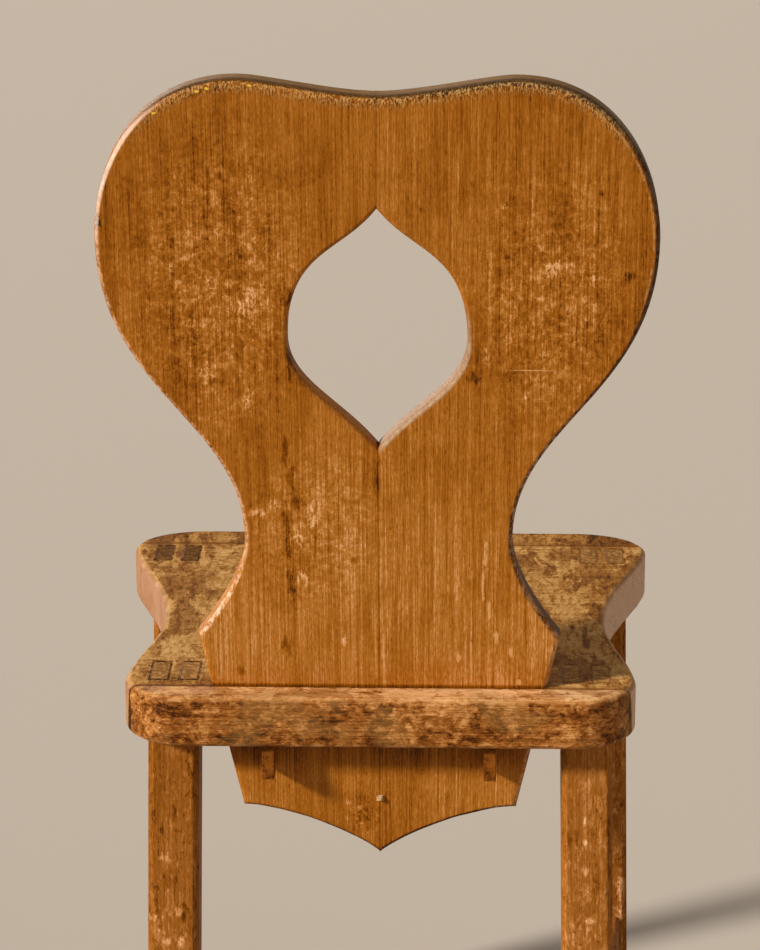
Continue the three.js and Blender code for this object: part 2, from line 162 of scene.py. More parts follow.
def mix_colors(amount, below, above):
    """Lays one colour over another by an amount."""
    return join("ShaderNodeMix", {0: amount, 6: below, 7: above}, data_type="RGBA")[2]


def on_places(operation, first, second=(0, 0, 0), output="Vector"):
    """One step of arithmetic on places."""
    return join("ShaderNodeVectorMath", {0: first, 1: second}, operation=operation)[output]


def stretched(place, scale):
    """Scales a place along each axis, so that a pattern is drawn out along the grain."""
    return on_places("MULTIPLY", place, scale)


def split(place, axis):
    return join("ShaderNodeSeparateXYZ", {0: place})[axis]


def noise_at(place, scale, detail=2.0, roughness=0.5, distortion=0.0):
    """Cloudy noise, from 0 to 1 and mostly near 0.5, read at a place."""
    return join("ShaderNodeTexNoise", {
        "Vector": place, "Scale": scale, "Detail": detail, "Roughness": roughness,
        "Distortion": distortion})["Fac"]


# %% Masks and values
def on_values(operation, result, *others):
    """The same arithmetic on a value and the others, one after the other."""
    for other in others:
        result = join("ShaderNodeMath", {0: result, 1: other}, operation=operation)[0]
    return result


def times(*values):
    return on_values("MULTIPLY", *values)


def plus(*values):
    return on_values("ADD", *values)


def minus(*values):
    return on_values("SUBTRACT", *values)


def largest(*values):
    return on_values("MAXIMUM", *values)


def size_of(value):
    """A value without its sign."""
    return join("ShaderNodeMath", {0: value}, operation="ABSOLUTE")[0]


def in_mm(value):
    """A length in metres as millimetres."""
    return times(value, 1 / MM)


def spread(value, low, high, to_low=0.0, to_high=1.0):
    """Eases a value from one range to another and holds it at both ends."""
    sockets = {"Value": value, "From Min": low, "From Max": high, "To Min": to_low,
               "To Max": to_high}
    return join("ShaderNodeMapRange", sockets, interpolation_type="SMOOTHSTEP")["Result"]


def within(*ranges):
    """A mask of the places where several values are in range, from the terms of each spread."""
    return times(*[spread(*terms) for terms in ranges])


# %% Groups
FLOAT = "NodeSocketFloat"
VECTOR = "NodeSocketVector"


def new_group(name, inputs, outputs):
    """A shader node group with named sockets. Gives what it gets and its last node."""
    tree = bpy.data.node_groups.new(name, "ShaderNodeTree")
    for socket_name, value in inputs.items():
        kind = FLOAT if isinstance(value, float) else VECTOR
        socket = tree.interface.new_socket(socket_name, in_out="INPUT", socket_type=kind)
        socket.default_value = value
    for socket_name in outputs:
        tree.interface.new_socket(socket_name, in_out="OUTPUT", socket_type=FLOAT)
    print("group:", name)
    return tree.nodes.new("NodeGroupInput").outputs, tree.nodes.new("NodeGroupOutput")


def place_group(group, sockets):
    """Puts a shader node group in a material and gives its outputs."""
    return join("ShaderNodeGroup", sockets, node_tree=group)


# %% [markdown]
# ## Grain
#
# Oak that was cut on the quarter shows straight fine lines, soft light and dark bands, and open
# pores, which are short dark dashes. All of them run along the board, so noise that is drawn out
# along the board can make them. Each piece carries a place for every point, called "grain", whose
# Z runs along its board, so one group can draw the grain of all the pieces. A second number,
# "board", moves the pattern from board to board.
#
# The group gives a tone and not a colour: a number near 0 that is added up with all the wear, and
# turned into a colour once, at the end, by a ramp of that wood's own browns. Real wood keeps to
# such a ramp, because thin varnish, dirt and bare wood are all steps between two browns.

# %% Grain group
ORIGIN = (0.0, 0.0, 0.0)
STEP_TO_NEXT_BOARD = (0.731, 0.413, 0.279)


def make_grain_group():
    given, end = new_group(
        "Oak grain",
        {"Place": ORIGIN, "Board": 0.0, "Bands": 0.5, "Lines": 0.9, "Pores": 0.16},
        ["Tone", "Height", "Fine"])
    steps = {0: STEP_TO_NEXT_BOARD, "Scale": given["Board"]}
    shift = join("ShaderNodeVectorMath", steps, operation="SCALE")[0]
    place = on_places("ADD", given["Place"], shift)

    def drawn_out(share, *settings):
        return noise_at(stretched(place, (1, 1, share)), *settings)

    def centred(value, amount):
        return times(minus(value, 0.5), amount)

    broad = drawn_out(0.45, 9, 3, 0.55)
    bands = drawn_out(0.03, 75, 2, 0.6, 0.3)
    lines = drawn_out(0.014, 680, 2, 0.7)
    fine = drawn_out(0.22, 1050, 2, 0.6)
    pores = spread(drawn_out(0.085, 1250, 1, 0.5), 0.58, 0.72)
    tone = plus(
        centred(broad, given["Bands"]), centred(bands, given["Bands"]),
        centred(lines, given["Lines"]), times(centred(fine, given["Lines"]), 0.65))
    relief = plus(times(lines, 0.5), times(broad, 1.2))
    fill_sockets(end, {
        "Tone": minus(tone, times(pores, given["Pores"])),
        "Height": minus(relief, times(pores, 0.7)),
        "Fine": fine})
    return end.id_data


grain_group = make_grain_group()

# %% [markdown]
# ## Wear
#
# Decades of use left rubbed places where the varnish is thin or gone. Their edges are ragged and
# follow the grain, because varnish lets go along the pores. The patches group cuts cloudy noise
# at a level, and a lower level covers more of the wood. Noise can't put a stain, a scratch or a
# knock at a chosen place, so the mark group does that: it counts how far a point is from the
# centre in the mark's half sizes, and a torn value, shared by all the marks of a finish, keeps
# the outline from being an egg. The outline group draws the dirty line round a tenon's end.

# %% Wear groups
BOX = {"Place": ORIGIN, "Centre": ORIGIN, "Half size": (1.0, 1.0, 1.0)}


def make_patches_group():
    given, end = new_group(
        "Rubbed patches",
        {"Place": ORIGIN, "Scale": 40.0, "Stretch": 0.5, "Level": 0.6, "Soft": 0.04}, ["Mask"])
    axes = join("ShaderNodeCombineXYZ", {0: 1.0, 1: 1.0, 2: given["Stretch"]})[0]
    cloud = noise_at(stretched(given["Place"], axes), given["Scale"], 7, 0.68, 0.4)
    top = plus(given["Level"], given["Soft"])
    fill_sockets(end, {"Mask": spread(cloud, given["Level"], top)})
    return end.id_data


def make_mark_group():
    given, end = new_group("Mark at a place", BOX | {"Soft": 0.6, "Torn": 0.0}, ["Mask"])
    away = on_places("SUBTRACT", given["Place"], given["Centre"])
    counted = on_places("DIVIDE", away, given["Half size"])
    distance = plus(on_places("LENGTH", counted, output="Value"), given["Torn"])
    fill_sockets(end, {"Mask": spread(distance, minus(1.0, given["Soft"]), 1.0, 1.0, 0.0)})
    return end.id_data


def make_outline_group():
    given, end = new_group("Outline of a box", BOX | {"Width": 0.001}, ["Mask"])
    away = on_places("SUBTRACT", given["Place"], given["Centre"])
    past = on_places("SUBTRACT", on_places("ABSOLUTE", away), given["Half size"])
    # Dirt lies twice as wide before and behind a tenon as beside it.
    ahead = times(split(past, 1), 0.5)
    near = size_of(largest(ahead, split(past, 2)))
    near = on_values("DIVIDE", near, given["Width"])
    fill_sockets(end, {"Mask": spread(near, 0.4, 1.0, 1.0, 0.0)})
    return end.id_data


patches_group = make_patches_group()
mark_group = make_mark_group()
outline_group = make_outline_group()

# %% [markdown]
# ## Edges
#
# Hands and cloths polish an edge until the bare wood shows, and dirt settles beside it. Each mesh
# carries a number called "edge" that is 1 in the middle of a rounded edge and 0 on the flats, and
# the group breaks that number up with noise, because an edge that is pale all along looks new.

# %% Edge group
def make_edge_group():
    given, end = new_group(
        "Worn edge", {"Place": ORIGIN, "Edge": 0.0, "Amount": 0.3}, ["Rubbed", "Dirt"])
    coarse = noise_at(given["Place"], 60, 6, 0.7)
    rubbed = spread(plus(coarse, times(given["Edge"], given["Amount"])), 0.66, 0.84)
    ring = times(given["Edge"], minus(1.0, coarse))
    fill_sockets(end, {"Rubbed": times(rubbed, given["Edge"]), "Dirt": spread(ring, 0.2, 0.6)})
    return end.id_data


edge_group = make_edge_group()

# %% [markdown]
# ## How a wood finish is written
#
# A finish starts with the grain's tone and adds to it: a plus is paler, such as a rubbed patch,
# and a minus is darker, such as a stain. Then a ramp turns the tone into browns, a few other
# colours are laid over it, and the shader gets its roughness and bump. A step that takes several
# masks works where all of them say.

# %% Start of a finish
def new_material(name):
    """A material with nodes, and its shader."""
    material = bpy.data.materials.new(name)
    material.use_nodes = True
    return material, material.node_tree.nodes["Principled BSDF"]


def start_wood(name, base, bands, lines, pores):
    """Makes a material whose tone holds only the grain. The recipe's parts are kept together."""
    material, shader = new_material(name)
    read = {
        label: add_node(material.node_tree, "ShaderNodeAttribute", attribute_name=label)
        for label in ("grain", "board", "edge", "rim", "facing")}
    place = read["grain"]["Vector"]
    board = read["board"]["Fac"]
    grain = place_group(grain_group, {
        "Place": place, "Board": board, "Bands": bands, "Lines": lines, "Pores": pores})
    cloud = noise_at(stretched(place, (1, 1, 0.35)), 300, 4, 0.7)
    return SimpleNamespace(
        material=material, shader=shader, place=place, board=board, grain=grain,
        edge=read["edge"]["Fac"], rim=in_mm(read["rim"]["Fac"]),
        facing=read["facing"]["Vector"], torn=times(minus(cloud, 0.5), 3.6),
        tone=plus(grain["Tone"], base))


# %% Tone and wear
def tone(wood, amount, *masks):
    """Makes the wood paler by an amount, or darker with a minus, and gives the masks' product."""
    mask = times(*masks)
    wood.tone = plus(wood.tone, times(mask, amount))
    return mask


def patches(wood, scale, stretch, level, soft, shift):
    """A mask of rubbed patches. The shift keeps two of them from falling on each other."""
    return place_group(patches_group, {
        "Place": on_places("ADD", wood.place, (shift, shift, shift)), "Scale": scale,
        "Stretch": stretch, "Level": level, "Soft": soft})["Mask"]


def wear(wood, rows, *masks):
    """Adds patches to the tone, each from a row: the amount, and what patches takes."""
    return [tone(wood, amount, patches(wood, *cut), *masks) for amount, *cut in rows]


# %% Marks and places
BACK_MIDDLE = -9
THROUGH_BOARD = 60


def mark(place, centre, half, soft, torn):
    """A mask of one mark. Centre and half sizes are in millimetres."""
    return place_group(mark_group, {
        "Place": place, "Centre": Vector(centre) * MM, "Half size": Vector(half) * MM,
        "Soft": soft, "Torn": torn})["Mask"]


def marks(wood, soft, rows, through=1, level=BACK_MIDDLE, torn=None):
    """One mask of many marks that go right through a board, at a level, along one of its axes.

    Each row has the middle on the other two axes and the half sizes along the same two.
    """
    masks = []
    for row in rows:
        centre = list(row[:2])
        half = list(row[2:])
        centre.insert(through, level)
        half.insert(through, THROUGH_BOARD)
        masks.append(mark(wood.place, centre, half, soft, wood.torn if torn is None else torn))
    return largest(*masks)


def on_axis(wood, axis):
    """How far a point is along one axis of its board, in millimetres."""
    return in_mm(split(wood.place, axis))


def worn_edge(wood, amount):
    return place_group(edge_group, {"Place": wood.place, "Edge": wood.edge, "Amount": amount})


# %% Colours
def srgb(red, green, blue):
    """A screen colour as the linear values that nodes use."""
    def linear(value):
        share = value / 255
        return share / 12.92 if share <= 0.04045 else ((share + 0.055) / 1.055) ** 2.4
    return (linear(red), linear(green), linear(blue), 1.0)


def color_wood(wood, *browns):
    """Turns the tone into browns, from the darkest to the palest, in even steps."""
    wood.color = join("ShaderNodeValToRGB", {"Fac": wood.tone})["Color"]
    stops = wood.color.node.color_ramp.elements
    while len(stops) < len(browns):
        stops.new(1.0)
    for index, brown in enumerate(browns):
        stops[index].position = index / (len(browns) - 1)
        stops[index].color = srgb(*brown)


def lay(wood, color, strength, *masks):
    """Lays a colour over the wood."""
    wood.color = mix_colors(times(*masks, strength), wood.color, srgb(*color))


# %% End of a finish
GRAIN_DEPTH = 0.6 * MM


def fill_shader(shader, color, roughness, strength, distance, height, **others):
    """Fills a shader's sockets, and raises and lowers its surface by a height."""
    relief = {"Strength": strength, "Distance": distance, "Height": height}
    fill_sockets(shader, {
        "Base Color": color, "Roughness": roughness,
        "Normal": join("ShaderNodeBump", relief)["Normal"]} | others)


def finish_wood(wood, roughness, rubbed, strength, shine):
    """Closes the recipe: roughness from the grain and rubbed places, bump from the grain."""
    rough = plus(times(wood.grain["Fine"], 0.2), roughness - 0.1, times(rubbed, 0.16))
    height = minus(wood.grain["Height"], times(rubbed, 0.35))
    fill_shader(wood.shader, wood.color, rough, strength, GRAIN_DEPTH, height,
                **{"Specular IOR Level": shine})
    print("finish:", wood.material.name)
    return wood.material


# %% [markdown]
# ## Finish of the back
#
# The back is honey brown with fine upright lines. The varnish is scuffed in small upright ticks,
# thickest in the middle of the two lobes, and one dark stain runs down on the left of the seam.
# The rim's top is grey with dirt and speckled with pale pores. The rest of the rim carries painted
# light and shade: its right side is painted dark as shade, its left side gets painted highlights,
# and the lower right rim of the opening, which faces up, is painted pale as light.
#
# The larger marks are rows of numbers, so that one can be moved or left out without touching the
# recipe. Their places are in the board's own millimetres: across from the seam, and up its slope
# from the seat.

# %% Marks on the back
# Each: across, up, and the half sizes along the same two, in millimetres.
BACK_STAIN = (
    (66, 190, 4, 18), (62, 170, 5, 16), (60, 150, 9, 12), (65, 134, 6, 12), (64, 115, 4.5, 20),
    (63, 86, 4, 18), (67, 34, 5, 12), (60, 262, 5, 24), (65, 308, 10, 10))
BACK_SPOTS = (
    (112, 243, 6, 3.5), (94, 337, 3, 3), (18, 104, 5, 4), (-90, 337, 2.5, 3), (-175, 324, 5, 5),
    (-154, 384, 2.5, 3), (-30, 372, 2, 3), (0, 166, 1.6, 18), (-62, 262, 5, 12), (100, 12, 4, 6),
    (-66, 246, 8, 8))
BACK_NOTCH = ((192, 361, 3.5, 6),)
BACK_SCUFFS = (
    (129, 287, 5, 5), (121, 248, 9, 13), (91, 227, 7, 11), (143, 325, 3.5, 7), (115, 316, 5, 6),
    (75, 148, 4, 8), (47, 137, 5, 13), (58, 121, 5, 11), (54, 90, 5, 8), (25, 39, 3, 8),
    (87, 141, 9, 6), (41, 286, 3, 12), (90, 300, 9, 22), (-88, 374, 3, 3), (-133, 330, 5, 4),
    (-151, 321, 5, 4), (-171, 310, 4, 5), (-121, 328, 7, 8), (-106, 233, 3, 4), (-76, 261, 4, 8))
BACK_SCRATCHES = (
    (-77, 106, 2, 16), (-75, 84, 1.5, 12), (-80, 64, 1.5, 12), (-85, 42, 2, 8), (-102, 5, 2.4, 3),
    (-96, 30, 2, 4), (-58, 26, 2, 5))
PAINT_SPECKS = ((150, 440.5, 2.2, 1), (121, 456, 2.2, 1), (114, 458, 2.2, 1), (85, 460, 2.2, 1))

# Each: how much paler, then the patches' scale, stretch, level, softness and shift.
BACK_WEAR = (
    (-0.08, 20, 0.7, 0.48, 0.10, 3), (-0.12, 520, 0.02, 0.52, 0.06, 27),
    (-0.12, 380, 0.5, 0.57, 0.05, 17))
HANDLED_WEAR = (
    (0.13, 60, 1.3, 0.50, 0.05, 7), (0.20, 210, 1.0, 0.50, 0.04, 11),
    (-0.11, 90, 0.7, 0.51, 0.05, 13), (-0.14, 300, 0.5, 0.52, 0.05, 15))
SOILED_WEAR = ((-0.25, 90, 0.7, 0.46, 0.06, 29), (0.3, 300, 0.7, 0.51, 0.05, 31))
print("stains and spots on the back:", len(BACK_STAIN + BACK_SPOTS + BACK_NOTCH))
print("scuffs, scratches and paint specks:", len(BACK_SCUFFS + BACK_SCRATCHES + PAINT_SPECKS))


# %% Wear of the back's faces
def handled_places(wood):
    """A mask of where hands and clothes rub the back: its two lobes and its waist."""
    left_lobe = marks(wood, 0.8, [(112, 320, 95, 175)], torn=0.0)
    right_lobe = marks(wood, 0.8, [(-122, 305, 88, 155)], torn=0.0)
    waist = marks(wood, 0.9, [(45, 130, 80, 105)], torn=0.0)
    rubbed = largest(left_lobe, times(right_lobe, 0.9), times(waist, 0.7))
    return plus(times(rubbed, 0.93), 0.07)


def tone_back_faces(wood, across, up):
    """Adds the wear of the back's flat faces and the painted shade under the seat, and gives the
    mask of its rubbed places.
    """
    tone(wood, 0.15, spread(up, 270, 30))
    tone(wood, 0.03, spread(across, 0, -30))
    tone(wood, -0.10, spread(up, -20, -50))
    tone(wood, -0.06, within((across, -145, -185), (up, 200, 260)))
    wear(wood, BACK_WEAR)
    scuffs, ticks, *_ = wear(wood, HANDLED_WEAR, handled_places(wood))
    tone(wood, 0.06, marks(wood, 0.5, [(11, 415, 11, 60)], torn=0.0))
    flecks = patches(wood, 260, 0.6, 0.47, 0.04, 23)
    tone(wood, 0.34, marks(wood, 0.7, BACK_SCUFFS), flecks)
    tone(wood, -0.36, marks(wood, 0.9, BACK_STAIN))
    tone(wood, -0.3, marks(wood, 0.9, BACK_SPOTS))
    tone(wood, -0.5, marks(wood, 0.7, BACK_NOTCH))
    seam = spread(size_of(across), 0.3, 1.1, 1.0, 0.0)
    tone(wood, -0.22, seam, spread(up, 280, 200, 0.35, 1.0))
    # Painted shade: the top of the tongue is darker just under the seat, where the seat's shadow
    # falls.
    painted_shade_under_seat = within((up, -85, -45), (up, 0, -10))
    tone(wood, -0.30, painted_shade_under_seat)
    foot_line = within((up, -3, 0), (up, 3.5, 1))
    tone(wood, -0.4, foot_line)
    wear(wood, SOILED_WEAR, marks(wood, 0.9, [(14, -106, 22, 24)]))
    return largest(scuffs, ticks)


# %% Back finish
def make_back_finish():
    wood = start_wood("back_wood", 0.50, 0.36, 0.78, 0.09)
    edge = wood.edge
    across, depth, up = [on_axis(wood, axis) for axis in range(3)]
    rubbed = tone_back_faces(wood, across, up)

    # Where on the rim: all of it, the top, the opening, and what the finish does to each.
    rim = spread(wood.rim, 2, 4, 1.0, 0.0)
    at_top = within((up, 385, 430), (across, 180, 140), (across, -185, -155))
    band = times(spread(wood.rim, 4, 11, 1.0, 0.0), at_top)
    in_opening = within((size_of(across), 76, 69), (up, 180, 186), (up, 385, 375))
    tone(wood, -0.20, band)
    # Painted shade: the rim is darker towards the right side, which turns away from the light.
    tone(wood, -0.42, rim, spread(across, 20, -60), minus(1.0, in_opening))
    tone(wood, -0.4, within((wood.rim, 1, 4, 1.0, 0.0), (up, -80, -95)))
    color_wood(wood, (58, 28, 0), (110, 56, 0), (138, 77, 4), (156, 92, 20),
               (176, 112, 42), (204, 146, 90), (226, 176, 124))

    # Painted highlights on the left rim, shoulder and waist. The patches break them up and break up
    # the painted light in the opening, and stand for chips on the right rim and the inner line.
    chips_and_highlight_breaks = patches(wood, 330, 0.7, 0.42, 0.16, 33)
    on_left = times(within((across, 70, 95), (up, 36, 50)), minus(1.0, at_top))
    lay(wood, (236, 198, 164), 0.4, edge, on_left, chips_and_highlight_breaks)
    shoulder = within((across, 140, 170), (up, 330, 390))
    waist = times(on_left, spread(up, 110, 60), chips_and_highlight_breaks)
    lay(wood, (246, 220, 198), 0.45, edge, plus(shoulder, waist))
    # Painted shade: the right flank, which turns away from the light, is laid dark.
    on_right = spread(across, -70, -90)
    flank = times(spread(depth, -2.5, -4.5), rim)
    lay(wood, (62, 36, 4), 0.85, flank, on_right)
    below_lobe = spread(up, 260, 180, 0.3, 1.0)
    lay(wood, (206, 172, 132), 0.4, edge, on_right, chips_and_highlight_breaks, below_lobe)
    # Painted light: the lower right rim of the opening, which faces up, is laid pale.
    lit = times(in_opening, within((across, 0, -3), (up, 310, 260)))
    lay(wood, (146, 112, 82), 0.9, rim, lit)
    lay(wood, (166, 138, 106), 0.8, spread(edge, 0.5, 1.0), lit, chips_and_highlight_breaks)
    inner_line = within((wood.rim, 3.4, 4.2), (wood.rim, 5.8, 4.6), (across, -120, -160),
                        (up, 260, 340))
    lay(wood, (196, 148, 92), 0.6, inner_line, chips_and_highlight_breaks)
    speckle = patches(wood, 900, 0.35, 0.48, 0.08, 19)
    lay(wood, (212, 164, 96), 0.6, speckle, band)
    lay(wood, (112, 80, 40), 0.85, flank, at_top)
    dark_line = within((depth, -0.8, -2), (depth, -8, -4.5))
    lay(wood, (46, 26, 4), 0.75, dark_line, rim, at_top)
    lay(wood, (216, 160, 98), 0.7, marks(wood, 0.6, BACK_SCRATCHES))
    level_scratch = marks(wood, 0.9, [(-109, 252.4, 25, 0.7)], torn=0.0)
    lay(wood, (220, 172, 112), 0.7, level_scratch)
    lay(wood, (228, 186, 60), 0.9, marks(wood, 0.5, PAINT_SPECKS))
    return finish_wood(wood, 0.48, rubbed, 0.32, 0.10)


back_finish = make_back_finish()

# %% [markdown]
# ## Finish of the seat
#
# The seat's varnish is worn through in large patches to a straw colour, and brown stays where
# nobody sits. The boards' ends, at the sides of the chair, are smooth and pale. Their paleness is
# partly a painted sheen, and the right end, which turns away from the light, is painted paler than
# the left, as painted reflected light. A painted highlight runs along the rounded rim where it
# faces up. The joints and the tenons have dirty outlines, whose places are read from the imported
# solids, so that the dirt follows a leg that is moved. The rear board's top is the palest place of
# the chair, its rear face is mottled, and a painted glint lies on the rounded edge at its left
# corner.
#
# In these recipes a board's place is (down from the top, front to back, side to side).

# %% Places on the seat
seat_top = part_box("seat_middle_board")[1].z
seat_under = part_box("seat_middle_board")[0].z
front_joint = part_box("seat_front_board")[1].y
rear_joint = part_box("seat_middle_board")[1].y
flush = seat_top - 0.1 * MM
LEGS = ["front_left_leg", "front_right_leg", "rear_left_leg", "rear_right_leg"]


def tenon_boxes(leg):
    """The two tenon ends of a leg in the seat's top, as middles and half sizes in metres."""
    ends = [vert.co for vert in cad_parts[leg].data.vertices if vert.co.z > flush]
    middle = sum(end.x for end in ends) / len(ends)
    boxes = []
    for side in (False, True):
        group = [end for end in ends if (end.x > middle) == side]
        low = Vector([min(end[axis] for end in group) for axis in range(3)])
        high = Vector([max(end[axis] for end in group) for axis in range(3)])
        boxes.append(((low + high) / 2, (high - low) / 2))
    return boxes


TENONS = {leg: tenon_boxes(leg) for leg in LEGS}
print("tenon ends:", {leg: len(TENONS[leg]) for leg in LEGS})

# %% Marks on the seat
TENON_DIRT = dict(zip(LEGS, (-0.4, -0.16, -1.0, -0.16)))
DIRT_WIDTH = 2.1 * MM
# Each: front to back, side to side, and the half sizes along the same two, in millimetres.
SEAT_BARE = (
    (-128, 132, 36, 20), (-75, 118, 54, 22), (-36, 119, 36, 18), (66, 146, 46, 18),
    (110, 132, 34, 18), (120, 160, 30, 16), (-92, -116, 36, 20), (-50, -126, 40, 20),
    (-20, -140, 26, 14), (-150, 136, 26, 18), (30, 132, 24, 12), (95, 176, 22, 10))
SEAT_BROWN = (
    (-94, 164, 26, 12), (-60, 168, 22, 8), (-10, 160, 20, 10), (-162, -150, 12, 44),
    (-150, -180, 16, 14), (-50, -163, 26, 12), (-96, 146, 10, 8), (-122, -168, 44, 24),
    (-98, -156, 26, 14), (20, 150, 16, 12))

# Wear rows like the back's.
SEAT_TOP_WEAR = (
    (0.08, 44, 2.6, 0.52, 0.04, 5), (-0.17, 50, 2.8, 0.515, 0.03, 8),
    (-0.15, 110, 2.6, 0.53, 0.03, 10))
SEAT_WEAR = ((-0.10, 30, 1.5, 0.55, 0.06, 12), (-0.15, 200, 1.8, 0.56, 0.05, 14))
REAR_TOP_WEAR = ((0.20, 34, 1.0, 0.48, 0.04, 2), (-0.24, 90, 0.7, 0.53, 0.04, 4))
REAR_FACE_WEAR = (
    (0.18, 52, 0.9, 0.50, 0.04, 6), (0.16, 170, 0.7, 0.51, 0.05, 8),
    (-0.19, 72, 0.65, 0.51, 0.05, 10), (-0.15, 210, 0.5, 0.51, 0.05, 12))
print("bare and brown places on the seat:", len(SEAT_BARE), len(SEAT_BROWN))


# %% Bare places and lines of the seat
def bare_places(wood):
    """A mask of where the varnish is gone, by chance and by the two lists of marks."""
    bare = patches(wood, 14, 2.4, 0.485, 0.035, 2)
    bare = largest(bare, marks(wood, 0.9, SEAT_BARE, 0, 0))
    for row in SEAT_BROWN:
        kept = times(marks(wood, 0.9, [row], 0, 0), 0.85)
        bare = times(bare, minus(1.0, kept))
    return bare


def tone_seat_lines(wood, top, along):
    """Adds the dirt round the tenons and in the joints."""
    broken = spread(noise_at(wood.place, 130, 4, 0.7), 0.42, 0.58, 0.1, 1.7)
    for leg in LEGS:
        for middle, half in TENONS[leg]:
            line = place_group(outline_group, {
                "Place": wood.place, "Centre": (0, middle.y, middle.x),
                "Half size": (1, half.y, half.x), "Width": DIRT_WIDTH})["Mask"]
            tone(wood, TENON_DIRT[leg], line, broken)
    for joint, strength in ((front_joint, -0.42), (rear_joint, -0.5)):
        away = size_of(minus(along, joint / MM))
        tone(wood, strength, spread(away, 0.8, 2.4, 1.0, 0.0), top)


# %% Seat finish
def make_seat_finish():
    wood = start_wood("seat_wood", 0.43, 0.25, 0.4, 0.08)
    along = on_axis(wood, 1)
    top = spread(split(wood.facing, 2), 0.5, 0.95)
    bare = tone(wood, 0.28, bare_places(wood), top)
    wear(wood, SEAT_TOP_WEAR, top)
    wear(wood, SEAT_WEAR)
    tone_seat_lines(wood, top, along)
    tone(wood, 0.05, spread(on_axis(wood, 2), 60, 120), top)
    front = front_joint / MM
    tone(wood, -0.10, spread(along, front, front - 2), top)
    color_wood(wood, (60, 32, 4), (106, 62, 14), (132, 80, 26), (158, 108, 48),
               (186, 137, 76), (206, 159, 98), (222, 182, 128))
    sideways = split(wood.facing, 0)
    left_end = spread(sideways, 0.55, 0.85)
    right_end = spread(sideways, -0.55, -0.85)
    ends = plus(left_end, right_end)
    # Painted sheen and reflected light: the ends are laid pale partly as sheen, and the right end,
    # which turns away from the light, is laid paler than the left.
    lay(wood, (160, 116, 86), 0.8, left_end)
    lay(wood, (196, 162, 134), 0.85, right_end)
    lay(wood, (190, 150, 120), 0.3, ends, patches(wood, 24, 1.0, 0.44, 0.18, 21))
    lay(wood, (120, 80, 54), 0.4, ends, patches(wood, 240, 1.0, 0.55, 0.06, 25))
    worn = worn_edge(wood, 0.22)
    lay(wood, (122, 76, 38), 0.3, worn["Dirt"])
    lay(wood, (214, 170, 124), 0.4, worn["Rubbed"])
    # Painted highlight along the middle of the rounded rim where it faces up.
    lay(wood, (206, 164, 114), 0.3, wood.edge, top)
    return finish_wood(wood, 0.7, bare, 0.4, 0.03)


seat_finish = make_seat_finish()


# %% Rear board finish
def make_rear_board_finish():
    wood = start_wood("seat_wood_rear", 0.365, 0.3, 0.65, 0.12)
    top = spread(split(wood.facing, 2), 0.45, 0.9)
    tone(wood, 0.32, top)
    pale, _ = wear(wood, REAR_TOP_WEAR, top)
    wear(wood, REAR_FACE_WEAR, minus(1.0, top))
    tone(wood, -0.16, patches(wood, 380, 0.7, 0.56, 0.05, 14))
    joint = rear_joint / MM
    tone(wood, -0.5, spread(on_axis(wood, 1), joint + 0.5, joint + 2, 1.0, 0.0))
    color_wood(wood, (58, 28, 4), (104, 54, 10), (134, 77, 24), (160, 102, 46),
               (188, 130, 72), (212, 158, 100), (232, 186, 134))
    worn = worn_edge(wood, 0.16)
    lay(wood, (150, 92, 44), 0.3, worn["Dirt"])
    lay(wood, (222, 170, 112), 0.5, worn["Rubbed"])
    lay(wood, (146, 110, 60), 0.28, patches(wood, 16, 0.8, 0.49, 0.08, 16))
    # Painted glint on the rounded edge at the board's left corner.
    corner = mark(wood.place, (2, 189, 158), (7, 9, 16), 0.7, wood.torn)
    lay(wood, (252, 232, 208), 0.9, corner, wood.edge)
    return finish_wood(wood, 0.55, pale, 0.5, 0.08)


rear_board_finish = make_rear_board_finish()

# %% [markdown]
# ## Finish of the legs, stretchers and keys
#
# The legs kept more of their varnish. Pale knocks lie on their lower halves, and the chamfers are
# rubbed. Their faces that turn to -X, away from the light, are painted darker, as painted shade.
# The tops of their tenons show in the seat as end grain, which takes up dirt: the front left leg's
# are dark brown, and the others match the seat. The stretchers are finished as the legs are, and
# the keys are painted darker, as painted shade, because they sit in the seat's shadow.

# %% Marks on the legs
# The legs are boards 5 to 8, and the front left one comes first.
FIRST_LEG = 5.0
LEG_WEAR = (
    (-0.10, 24, 0.4, 0.5, 0.18, 4), (0.14, 300, 0.35, 0.53, 0.06, 8),
    (-0.2, 90, 0.5, 0.56, 0.05, 14), (-0.16, 400, 0.4, 0.57, 0.05, 17))
LOW_LEG_WEAR = ((0.26, 60, 0.7, 0.55, 0.04, 10), (0.2, 170, 0.5, 0.54, 0.05, 12))
# Each lies on a leg's rear face: x, height, and half sizes across and up, in millimetres.
LEG_KNOCKS = (
    (-152, 343, 3, 6), (-152, 326, 3, 3.5), (-153, 303, 4, 5), (-157, 264, 5, 3.5),
    (160, 310, 7, 6), (171, 263, 5, 4.5), (150, 268, 4, 5), (160, 244, 5, 5), (149, 244, 4, 5))
REAR_FACE = 152
print("knocks on the rear legs:", len(LEG_KNOCKS))


# %% Leg finish
def color_tenon_ends(wood, height):
    """Gives the tenons' ends in the seat a brown of their own, and gives their mask."""
    speckle = patches(wood, 260, 1.0, 0.45, 0.14, 16)
    dark = mix_colors(speckle, srgb(88, 54, 20), srgb(124, 82, 36))
    pale = mix_colors(speckle, srgb(136, 90, 40), srgb(184, 134, 76))
    ends = mix_colors(spread(wood.board, FIRST_LEG + 0.2, FIRST_LEG + 1.4), dark, pale)
    showing = spread(height, seat_top - 0.7 * MM, seat_top - 0.3 * MM)
    wood.color = mix_colors(showing, wood.color, ends)
    return showing


